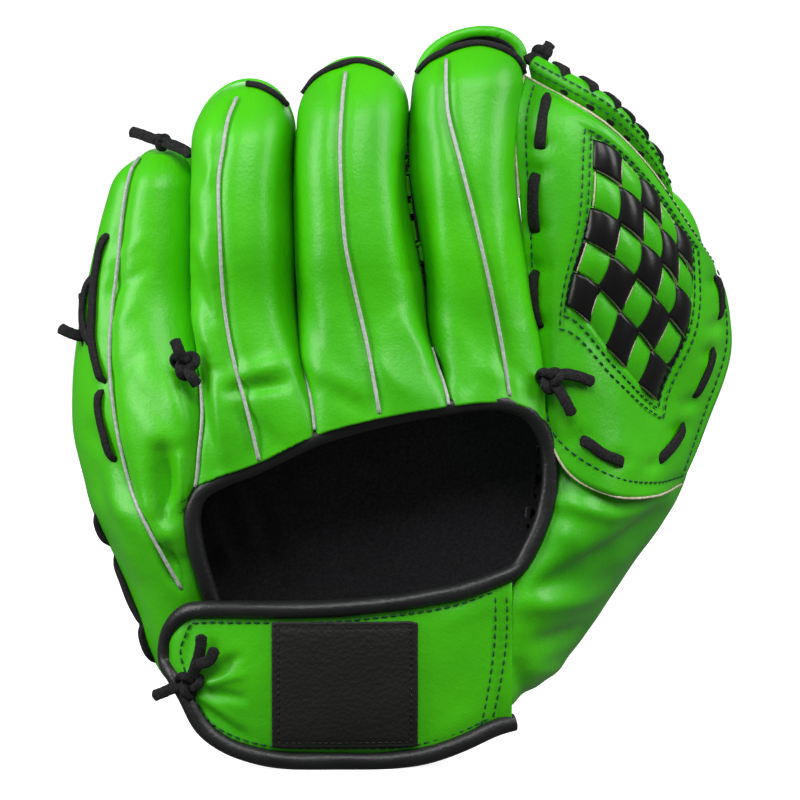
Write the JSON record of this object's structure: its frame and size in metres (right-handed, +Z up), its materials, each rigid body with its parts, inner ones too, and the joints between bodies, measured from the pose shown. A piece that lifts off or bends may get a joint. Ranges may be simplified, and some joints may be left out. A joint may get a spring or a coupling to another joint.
{
  "type": "cricket fielding practice mitt",
  "caption": "Left-hand fielding mitt of green leather with black rolled binding, finger stalls, a woven black and green web and a wrist strap.",
  "frame": {"origin": "middle of the mitt's footprint on the floor it stands on, at the lower rim of the wrist hole", "axes": "+Z up from the wrist rim towards the fingertips, -Y out of the back of the hand, +Y out of the palm, +X towards the thumb"},
  "size_m": [0.2741, 0.1336, 0.2899],
  "materials": {
    "green_leather": "smooth bright green synthetic leather, satin",
    "black_binding": "black synthetic leather, rolled, semi-gloss",
    "black_band": "black synthetic leather, glossy, with a pale raw edge",
    "black_patch": "black grained synthetic leather, matt",
    "black_lace": "black leather lace, matt",
    "black_lining": "black brushed cloth",
    "silver_piping": "silver grey piping, satin"
  },
  "bodies": {
    "root": {"palm": "green_leather", "pinky_back": "green_leather", "ring_back": "green_leather", "middle_back": "green_leather", "index_back": "green_leather", "thumb_back": "green_leather", "palm_lining": "black_lining", "opening_binding": "black_binding", "wrist_strap": "green_leather", "strap_binding": "black_binding", "strap_patch": "black_patch", "pinky_piping": "silver_piping", "ring_piping": "silver_piping", "middle_piping": "silver_piping", "index_piping": "silver_piping", "pinky_ring_piping": "silver_piping", "ring_middle_piping": "silver_piping", "middle_index_piping": "silver_piping", "web_panel": "green_leather", "web_band_1": "black_band", "web_band_2": "black_band", "web_band_3": "black_band", "web_band_4": "black_band", "web_band_5": "black_band", "web_roll": "green_leather", "web_roll_lace": "black_lace", "web_lace_left": "black_lace", "web_lace_low": "black_lace", "web_lace_right": "black_lace", "ring_tip_lace": "black_lace", "middle_tip_lace": "black_lace", "index_tip_lace": "black_lace", "pinky_ring_lace": "black_lace", "pinky_lace": "black_lace", "heel_lace": "black_lace", "strap_knot": "black_lace", "web_knot": "black_lace", "crease_knot": "black_lace", "pinky_knot": "black_lace"}
  },
  "joints": []
}
